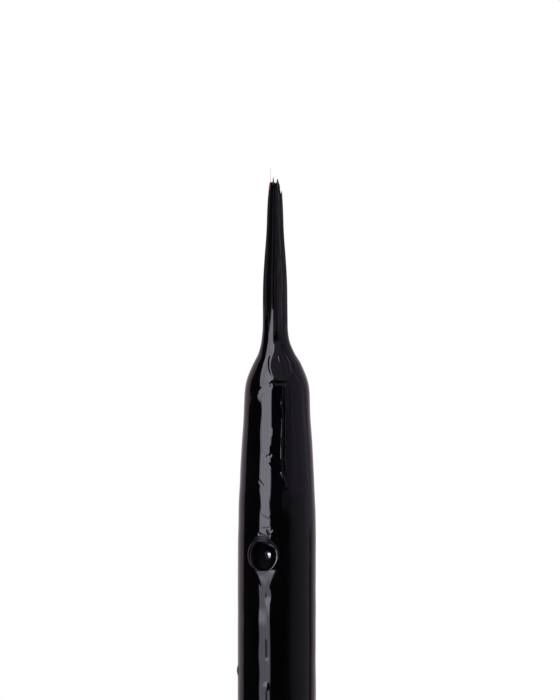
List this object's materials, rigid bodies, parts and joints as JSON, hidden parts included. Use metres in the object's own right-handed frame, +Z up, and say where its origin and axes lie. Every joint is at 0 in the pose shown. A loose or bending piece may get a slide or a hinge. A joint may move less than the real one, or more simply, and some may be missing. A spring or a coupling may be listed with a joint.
{
  "type": "calligraphy brush",
  "caption": "Fine-line calligraphy brush with a thick round handle, a sloping head, a slim neck and a slender pointed hair tuft, coated in glossy black ink.",
  "frame": {"origin": "centre of the flat tail end of the handle", "axes": "+Z up the handle's axis to the tip of the hairs, -Y to the front, where the pit in the ink is, +X to the right seen from the front"},
  "size_m": [0.012, 0.0125, 0.235],
  "materials": {
    "bamboo": "split bamboo, fine lengthwise grain",
    "head_wood": "turned hardwood",
    "black_horn": "polished black horn",
    "hide_glue": "clear amber glue",
    "rosin": "dark amber rosin",
    "silk_thread": "waxed silk",
    "core_hair": "reddish-brown animal hair",
    "mantle_hair": "reddish-brown animal hair stained by ink",
    "ink": "thick glossy black ink"
  },
  "bodies": {
    "handle": {"barrel": "bamboo", "head_ferrule": "head_wood", "ferrule_glue": "hide_glue", "neck_sleeve": "bamboo", "sleeve_glue": "hide_glue", "root_rosin": "rosin", "root_thread": "silk_thread", "core_thread": "silk_thread", "core_root": "core_hair", "mantle_root": "mantle_hair", "ink_coat": "ink", "tail_cap": "black_horn", "tail_glue": "hide_glue"},
    "tuft_belly": {"core_belly": "core_hair", "mantle_belly": "mantle_hair", "ink_film_belly": "ink"},
    "tuft_point": {"core_point": "core_hair", "mantle_point": "mantle_hair", "ink_film_point": "ink", "wisps": "mantle_hair", "stray_hair": "core_hair"}
  },
  "joints": [
    {"name": "tuft_lean", "type": "hinge", "parent": "handle", "child": "tuft_belly", "pos_m": [0, 0, 0.2176], "axis": [0, 1, 0], "range_deg": [-25, 25], "stiffness_Nm_per_rad": 0.001},
    {"name": "tip_bend", "type": "hinge", "parent": "tuft_belly", "child": "tuft_point", "pos_m": [0, 0, 0.2254], "axis": [1, 0, 0], "range_deg": [-35, 35], "stiffness_Nm_per_rad": 0.0003}
  ]
}
